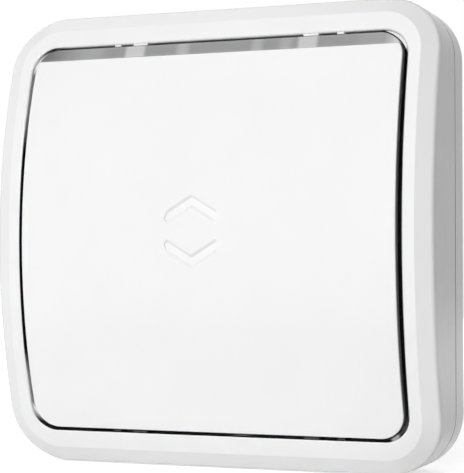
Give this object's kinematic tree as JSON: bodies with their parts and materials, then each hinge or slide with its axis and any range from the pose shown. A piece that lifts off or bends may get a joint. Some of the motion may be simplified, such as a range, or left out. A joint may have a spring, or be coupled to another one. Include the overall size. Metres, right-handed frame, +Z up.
{
  "type": "wireless remote wall switch",
  "caption": "Surface-mounted wireless remote wall switch: bowed square frame, large rocker with a light strip, coin cell radio board inside.",
  "frame": {"origin": "centre of the back face, in the plane of the wall", "axes": "+Y into the wall, +Z up, +X to the right seen from the front"},
  "size_m": [0.0808, 0.0232, 0.0816],
  "materials": {
    "white_plastic": "satin moulded ABS",
    "rocker_plastic": "satin moulded ABS",
    "frosted_strip": "frosted translucent grey",
    "chassis_plastic": "moulded ABS",
    "foam_tape": "foam with adhesive",
    "board": "solder-masked glass epoxy",
    "black_plastic": "moulded",
    "steel": "plated sheet",
    "cell_steel": "nickel plated",
    "contact_metal": "sprung phosphor bronze",
    "chip_black": "moulded epoxy",
    "ceramic": "ceramic",
    "led_white": "clear cap",
    "aluminium_can": "drawn can"
  },
  "bodies": {
    "case": {"wall_plate": "white_plastic", "adhesive_pads": "foam_tape", "front_frame": "white_plastic", "chassis": "chassis_plastic", "chassis_screws": "steel", "board_screws": "steel", "circuit_board": "board", "top_key_housing": "black_plastic", "top_key_cover": "steel", "top_key_legs": "steel", "bottom_key_housing": "black_plastic", "bottom_key_cover": "steel", "bottom_key_legs": "steel", "coin_cell": "cell_steel", "cell_holder": "black_plastic", "plus_contact": "contact_metal", "minus_contact": "contact_metal", "radio_board": "board", "radio_shield": "steel", "radio_chip": "chip_black", "radio_antenna": "ceramic", "controller_chip": "chip_black", "timing_crystal": "steel", "indicator_led": "led_white", "buffer_capacitor": "aluminium_can", "chip_capacitors": "ceramic", "chip_resistors": "chip_black"},
    "rocker": {"rocker": "rocker_plastic", "light_strip": "frosted_strip"},
    "top_plunger": {"top_key_plunger": "black_plastic"},
    "bottom_plunger": {"bottom_key_plunger": "black_plastic"}
  },
  "joints": [
    {"name": "rocker_tilt", "type": "hinge", "parent": "case", "child": "rocker", "pos_m": [0, -0.014, 0], "axis": [-1, 0, 0], "range_deg": [-1.5, 1.5], "stiffness_Nm_per_rad": 1},
    {"name": "top_plunger_slide", "type": "slide", "parent": "case", "child": "top_plunger", "axis": [0, 1, 0], "range_m": [-0.0006, 0.0006]},
    {"name": "bottom_plunger_slide", "type": "slide", "parent": "case", "child": "bottom_plunger", "axis": [0, 1, 0], "range_m": [-0.0006, 0.0006]}
  ],
  "couplings": [
    {"joint": "top_plunger_slide", "follows": "rocker_tilt", "m_per_rad": 0.022},
    {"joint": "bottom_plunger_slide", "follows": "rocker_tilt", "m_per_rad": -0.022}
  ]
}
